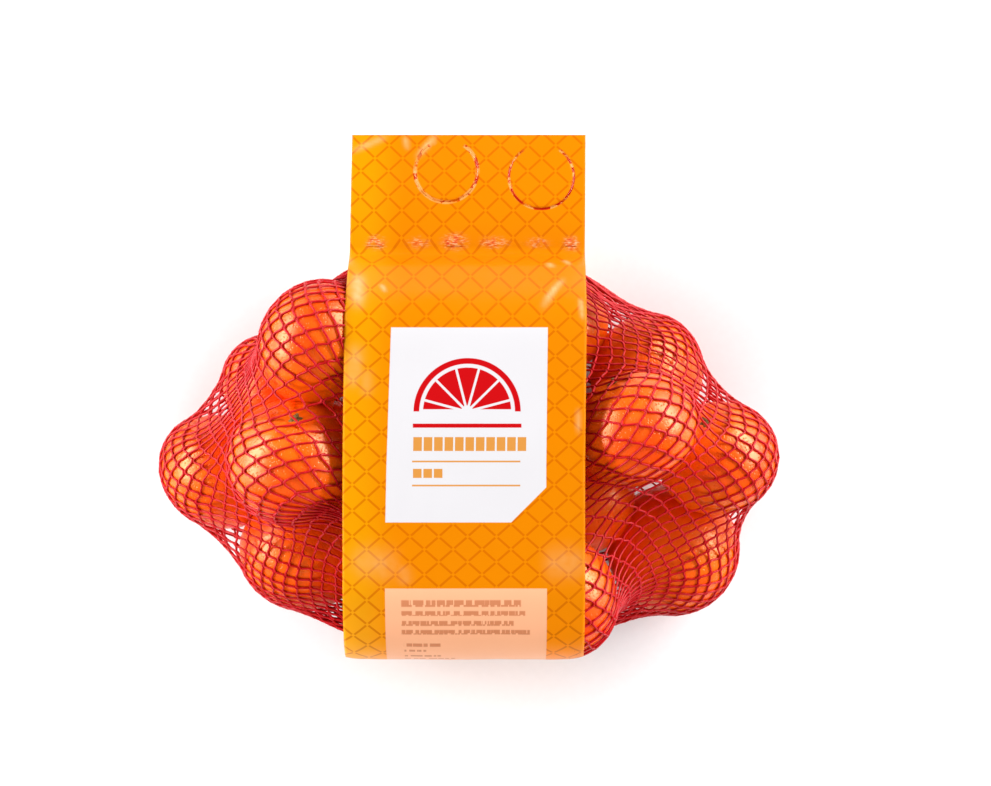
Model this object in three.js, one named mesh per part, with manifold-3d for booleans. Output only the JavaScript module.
// A net of clementines, lying on its back with the printed side up.
// Eighteen fruit fill a knitted net that is gathered at both ends, and one strip of film runs
// down the front, round the lower end and up the back, where its two ends are joined to the net
// in a weld and stand on as a flat header with two carrying flaps.
// Millimetres. +X runs across the film, +Y towards the header, +Z up.
// The origin is the middle of the flat underside of the film.
import * as THREE from "three";
import { mergeVertices } from "three/addons/utils/BufferGeometryUtils.js";
import Module from "manifold-3d";

// ---- driving dimensions ----
const FILM_WIDTH = 101;
const FILM_THICKNESS = 0.6;
const FILM_LEAN = 0.012; // how far the film runs towards +X for each millimetre beyond Y = 0
const FILM_MARGIN = 1; // the film also clears the net this far beyond its two edges
const CLEARANCE = 0.35; // between the net and the film round it
const NET_FLOOR = FILM_THICKNESS + CLEARANCE; // the net lies this high, inside the film
const NET_THICKNESS = 0.9; // of the threads, over the peel

const WELD_Y = 93;
const WELD_Z = 60;
const WELD_LENGTH = 6; // along Y
const WELD_BULGE = 0.7; // how far the gathered threads stand proud of the header, on each face
const WELD_STEPS = 4;
const HEADER_START = 0.8; // beyond the line where the two ends of the film meet
const HEADER_LENGTH = 49; // from that line to the free edge
const HEADER_DROOP = 8; // the free edge hangs this much below the weld
const DROOP_POWER = 1.6; // how much more the header bends towards its free edge
const HEADER_STEPS = 8; // beyond the weld

const GATHER_HALF_WIDTH = 42; // of the gathered net, at both of its ends
const GATHER_HALF_DEPTH = 1.2;
const TOP_GATHER = { y: 90, z: 60 };
const BOTTOM_GATHER = { y: -79, z: 45 };
const LOOSE_HALF_WIDTH = 150; // of the net before it is pulled taut
const LOOSE_HALF_DEPTH = 64;
const LOOSE_FULLNESS = 0.45; // the lower, the sooner the loose net widens from its gathers
const ROWS = 38; // of the net's surface, from the top gather to the bottom one
const COLUMNS = 72; // round it
const SETTLING_STEPS = 900;
const SETTLING_RATE = 0.7;
const SETTLING_REACH = 2; // the furthest that a point moves in one step
const SINK = 0.45; // how far slack lets a point sink between the fruit, above and below the middle
const SINK_MIDDLE = 46; // the height towards which the net sinks
const SINK_RANGE = 22; // it sinks less within this distance of that height

const FLAP_SLIT = 0.5; // width of the cut round a carrying flap
const FLAP_HINGE_ANGLE = 70; // degrees left uncut, on the side of the free edge
const FLAP_SEGMENTS = 30;
const FLAP_CUT_DEPTH = 24; // through the header, wherever it hangs
const FLAPS = [
  { x: -8, y: 126, radius: 13.5 },
  { x: 33, y: 123.5, radius: 14 },
];

// A clementine is flattened along its core. Each row is the middle of one fruit, its radius, and
// where its stalk end points: the tilt away from straight up and the heading round +Z from +X.
const FLATTENING = 0.88;
const FRUIT = [
  // lower layer
  { at: [-108.5, -4.5, 28], radius: 27, tilt: 86, heading: 52 },
  { at: [-82, 32, 32.5], radius: 25.5, tilt: 80, heading: 235 },
  { at: [-72, -40, 34], radius: 27.5, tilt: 75, heading: 250 },
  { at: [-44.5, 2.5, 26.4], radius: 27.5, tilt: 42, heading: 172 },
  { at: [4, -10.3, 26.8], radius: 25.5, tilt: 109, heading: 138 },
  { at: [51, -16.6, 34.6], radius: 24.1, tilt: 37, heading: 158 },
  { at: [7.8, -59.6, 25.8], radius: 26.6, tilt: 153, heading: 201 },
  { at: [91.3, -38.5, 26.8], radius: 28.8, tilt: 160, heading: 300 },
  { at: [80, 38, 27.5], radius: 27, tilt: 60, heading: 350 },
  { at: [37, 62, 30], radius: 26, tilt: 50, heading: 90 },
  { at: [-19.1, 59.7, 31.4], radius: 25.5, tilt: 148, heading: 80 },
  // upper layer
  { at: [109.5, 2, 47.5], radius: 26, tilt: 49, heading: 111 },
  { at: [-62.5, 51.5, 73], radius: 27, tilt: 75, heading: 330 },
  { at: [-72, 1.5, 73], radius: 28.5, tilt: 48, heading: 86 },
  { at: [0.5, 11, 71.5], radius: 27.5, tilt: 50, heading: 20 },
  { at: [73, 15, 73], radius: 27, tilt: 75, heading: 116 },
  { at: [41, -56, 69], radius: 26.5, tilt: 70, heading: 200 },
  { at: [-13.5, -50, 71], radius: 27, tilt: 80, heading: 270 },
];

const TINY = 1e-6; // keeps a division finite and a corner from being counted twice
const MERGE_DISTANCE = 1e-4; // corners nearer than this are one

const FILM_MATERIAL = { color: 0xff9900, roughness: 0.35, metalness: 0 };
const NET_MATERIAL = { color: 0xf0500f, roughness: 0.55, metalness: 0 };

// ---- the fruit, as flattened balls that the net lies on ----
function fruitBall({ at, radius, tilt, heading }) {
  const t = THREE.MathUtils.degToRad(tilt);
  const h = THREE.MathUtils.degToRad(heading);
  return {
    middle: new THREE.Vector3(...at),
    core: new THREE.Vector3(Math.sin(t) * Math.cos(h), Math.sin(t) * Math.sin(h), Math.cos(t)),
    across: radius + NET_THICKNESS,
    along: radius * FLATTENING + NET_THICKNESS,
  };
}

const balls = FRUIT.map(fruitBall);

// A point inside a ball moves straight out from its middle to the surface.
function pushOut(point, ball) {
  const arm = point.clone().sub(ball.middle);
  const up = arm.dot(ball.core);
  const outSquared = Math.max(arm.lengthSq() - up * up, 0);
  const depth = Math.sqrt(outSquared / ball.across ** 2 + (up * up) / ball.along ** 2);
  if (depth < 1) point.copy(ball.middle).addScaledVector(arm, 1 / Math.max(depth, TINY));
}

// ---- the net: a sleeve, pulled taut over the fruit between its two gathers ----
function gatherPoint(gather, angle) {
  return new THREE.Vector3(
    GATHER_HALF_WIDTH * Math.cos(angle),
    gather.y,
    gather.z + GATHER_HALF_DEPTH * Math.sin(angle),
  );
}

// Before it is pulled taut, the sleeve is a wide bag round all the fruit.
function loosePoint(share, angle) {
  const bulge = Math.sin(Math.PI * share) ** LOOSE_FULLNESS;
  const y = THREE.MathUtils.lerp(TOP_GATHER.y, BOTTOM_GATHER.y, share);
  const z = THREE.MathUtils.lerp(TOP_GATHER.z, BOTTOM_GATHER.z, share);
  return new THREE.Vector3(
    THREE.MathUtils.lerp(GATHER_HALF_WIDTH, LOOSE_HALF_WIDTH, bulge) * Math.cos(angle),
    y,
    z + LOOSE_HALF_DEPTH * bulge * Math.sin(angle),
  );
}

// Each point is pulled by its four neighbours, harder the further away they are, and sinks a
// little towards the middle height.
function settlePoint(point, neighbours) {
  const sum = new THREE.Vector3();
  let total = 0;
  for (const other of neighbours) {
    const pull = point.distanceTo(other);
    sum.addScaledVector(other, pull);
    total += pull;
  }
  const target = sum.divideScalar(total);
  target.z -= SINK * THREE.MathUtils.clamp((point.z - SINK_MIDDLE) / SINK_RANGE, -1, 1);
  const move = target.sub(point).multiplyScalar(SETTLING_RATE);
  point.add(move.clampLength(0, SETTLING_REACH));
  balls.forEach((ball) => pushOut(point, ball));
  point.z = Math.max(point.z, NET_FLOOR);
}

function settledNet() {
  const rows = [];
  for (let r = 0; r <= ROWS; r++) {
    const share = r / ROWS;
    const row = [];
    for (let c = 0; c < COLUMNS; c++) {
      const angle = (2 * Math.PI * c) / COLUMNS;
      if (r === 0) row.push(gatherPoint(TOP_GATHER, angle));
      else if (r === ROWS) row.push(gatherPoint(BOTTOM_GATHER, angle));
      else row.push(loosePoint(share, angle));
    }
    rows.push(row);
  }
  for (let step = 0; step < SETTLING_STEPS; step++)
    for (let r = 1; r < ROWS; r++)
      for (let c = 0; c < COLUMNS; c++) {
        const before = rows[r][(c + COLUMNS - 1) % COLUMNS];
        const after = rows[r][(c + 1) % COLUMNS];
        settlePoint(rows[r][c], [rows[r - 1][c], rows[r + 1][c], before, after]);
      }
  return rows;
}

const net = settledNet();

// The sleeve's surface, with a flat strip of faces closing each gather.
function netGeometry(rows) {
  const positions = rows.flat().flatMap((p) => [p.x, p.y, p.z]);
  const index = (r, c) => r * COLUMNS + ((c + COLUMNS) % COLUMNS);
  const faces = [];
  for (let r = 0; r < ROWS; r++)
    for (let c = 0; c < COLUMNS; c++) {
      faces.push(index(r, c), index(r, c + 1), index(r + 1, c + 1));
      faces.push(index(r, c), index(r + 1, c + 1), index(r + 1, c));
    }
  for (const [r, outward] of [
    [0, false],
    [ROWS, true],
  ])
    for (let c = 0; c < COLUMNS / 2; c++) {
      const strip = [
        [index(r, c), index(r, c + 1), index(r, -c - 1)],
        [index(r, c), index(r, -c - 1), index(r, -c)],
      ];
      for (const face of strip)
        if (new Set(face).size === 3) faces.push(...(outward ? face : face.slice().reverse()));
    }
  const geometry = new THREE.BufferGeometry();
  geometry.setAttribute("position", new THREE.Float32BufferAttribute(positions, 3));
  geometry.setIndex(faces);
  return geometry;
}

// ---- the film: wound tightly round the net, seen from the side ----
// Every place where the net shows within the film's width, as a point of (y, z).
function netOutlineUnderFilm(rows) {
  const half = FILM_WIDTH / 2 + FILM_MARGIN;
  const points = [];
  rows.forEach((row, r) =>
    row.forEach((p, c) => {
      if (Math.abs(p.x) <= half) points.push(new THREE.Vector2(p.y, p.z));
      const beside = [row[(c + 1) % COLUMNS], rows[Math.min(r + 1, ROWS)][c]];
      beside.push(rows[Math.min(r + 1, ROWS)][(c + 1) % COLUMNS]);
      for (const q of beside)
        for (const edge of [-half, half])
          if ((p.x - edge) * (q.x - edge) < 0) {
            const on = p.clone().lerp(q, (edge - p.x) / (q.x - p.x));
            points.push(new THREE.Vector2(on.y, on.z));
          }
    }),
  );
  return points;
}

// The convex outline round the points, anticlockwise.
function tightLoop(points) {
  const sorted = points.slice().sort((a, b) => a.x - b.x || a.y - b.y);
  const turn = (o, a, b) => (a.x - o.x) * (b.y - o.y) - (a.y - o.y) * (b.x - o.x);
  const half = (list) => {
    const chain = [];
    for (const p of list) {
      while (chain.length > 1 && turn(chain.at(-2), chain.at(-1), p) <= TINY) chain.pop();
      chain.push(p);
    }
    return chain.slice(0, -1);
  };
  return [...half(sorted), ...half(sorted.reverse())];
}

// The loop moved outwards by a distance, with its corners kept.
function widenedLoop(loop, distance) {
  const n = loop.length;
  const normal = (a, b) => new THREE.Vector2(b.y - a.y, a.x - b.x).normalize();
  return loop.map((p, i) => {
    const before = normal(loop[(i + n - 1) % n], p);
    const after = normal(p, loop[(i + 1) % n]);
    const middle = before.clone().add(after).normalize();
    return p.clone().addScaledVector(middle, distance / middle.dot(after));
  });
}

// A shape drawn in (y, z) and drawn out along X, centred on it.
function acrossFilm(shape, width) {
  const geometry = new THREE.ExtrudeGeometry(shape, { depth: width, bevelEnabled: false });
  const axes = new THREE.Matrix4().makeBasis(
    new THREE.Vector3(0, 1, 0),
    new THREE.Vector3(0, 0, 1),
    new THREE.Vector3(1, 0, 0),
  );
  return geometry.applyMatrix4(axes).translate(-width / 2, 0, 0);
}

function filmLoopGeometry() {
  const weld = new THREE.Vector2(WELD_Y, WELD_Z);
  const loop = tightLoop([...netOutlineUnderFilm(net), weld]);
  const shape = new THREE.Shape(widenedLoop(loop, CLEARANCE + FILM_THICKNESS));
  shape.holes.push(new THREE.Path(widenedLoop(loop, CLEARANCE)));
  return acrossFilm(shape, FILM_WIDTH);
}

// Both ends of the film together, swollen at the weld by the net between them.
function headerGeometry() {
  const length = HEADER_LENGTH - HEADER_START;
  const upper = [];
  const lower = [];
  const stations = [];
  for (let i = 0; i < WELD_STEPS; i++) stations.push((WELD_LENGTH * i) / WELD_STEPS);
  for (let i = 0; i <= HEADER_STEPS; i++)
    stations.push(THREE.MathUtils.lerp(WELD_LENGTH, length, i / HEADER_STEPS));
  for (const along of stations) {
    const sag = HEADER_DROOP * (along / HEADER_LENGTH) ** DROOP_POWER;
    const inWeld = Math.min(along / WELD_LENGTH, 1);
    const halfThick = FILM_THICKNESS + WELD_BULGE * Math.sin(Math.PI * inWeld);
    const y = WELD_Y + HEADER_START + along;
    upper.push(new THREE.Vector2(y, WELD_Z - sag + halfThick));
    lower.push(new THREE.Vector2(y, WELD_Z - sag - halfThick));
  }
  return acrossFilm(new THREE.Shape([...lower, ...upper.reverse()]), FILM_WIDTH);
}

// The cut round one carrying flap: a ring sector, open towards the free edge.
function slitGeometry({ x, y, radius }) {
  const hinge = THREE.MathUtils.degToRad(FLAP_HINGE_ANGLE / 2);
  const from = Math.PI / 2 + hinge;
  const to = from + 2 * (Math.PI - hinge);
  const shape = new THREE.Shape();
  shape.absarc(x, y, radius + FLAP_SLIT / 2, from, to, false);
  shape.absarc(x, y, radius - FLAP_SLIT / 2, to, from, true);
  const geometry = new THREE.ExtrudeGeometry(shape, {
    depth: FLAP_CUT_DEPTH,
    bevelEnabled: false,
    curveSegments: FLAP_SEGMENTS,
  });
  return geometry.translate(0, 0, WELD_Z - (HEADER_DROOP + FLAP_CUT_DEPTH) / 2);
}

// ---- joining and cutting ----
const wasm = await Module();
wasm.setup();

function solid(geometry) {
  const bare = geometry.clone();
  for (const name of Object.keys(bare.attributes)) if (name !== "position") bare.deleteAttribute(name);
  const merged = mergeVertices(bare, MERGE_DISTANCE);
  return new wasm.Manifold(
    new wasm.Mesh({
      numProp: 3,
      vertProperties: merged.attributes.position.array,
      triVerts: new Uint32Array(merged.index.array),
    }),
  );
}

function geometryOf(body) {
  const mesh = body.getMesh();
  const geometry = new THREE.BufferGeometry();
  geometry.setAttribute("position", new THREE.BufferAttribute(mesh.vertProperties, 3));
  geometry.setIndex(new THREE.BufferAttribute(mesh.triVerts, 1));
  geometry.computeVertexNormals();
  return geometry;
}

// The film isn't quite in line with the net: above the middle it leans a little to one side.
function leaning(geometry) {
  const places = geometry.attributes.position;
  for (let i = 0; i < places.count; i++)
    places.setX(i, places.getX(i) + FILM_LEAN * Math.max(places.getY(i), 0));
  return geometry;
}

function filmGeometry() {
  let film = solid(leaning(filmLoopGeometry())).add(solid(leaning(headerGeometry())));
  for (const flap of FLAPS) film = film.subtract(solid(slitGeometry(flap)));
  return geometryOf(film);
}

// ---- the pack ----
const pack = new THREE.Group();

const filledNet = new THREE.Mesh(netGeometry(net), new THREE.MeshStandardMaterial(NET_MATERIAL));
filledNet.name = "filled_net";
filledNet.geometry.computeVertexNormals();
pack.add(filledNet);

const filmBand = new THREE.Mesh(filmGeometry(), new THREE.MeshStandardMaterial(FILM_MATERIAL));
filmBand.name = "film_band";
pack.add(filmBand);

export default pack;
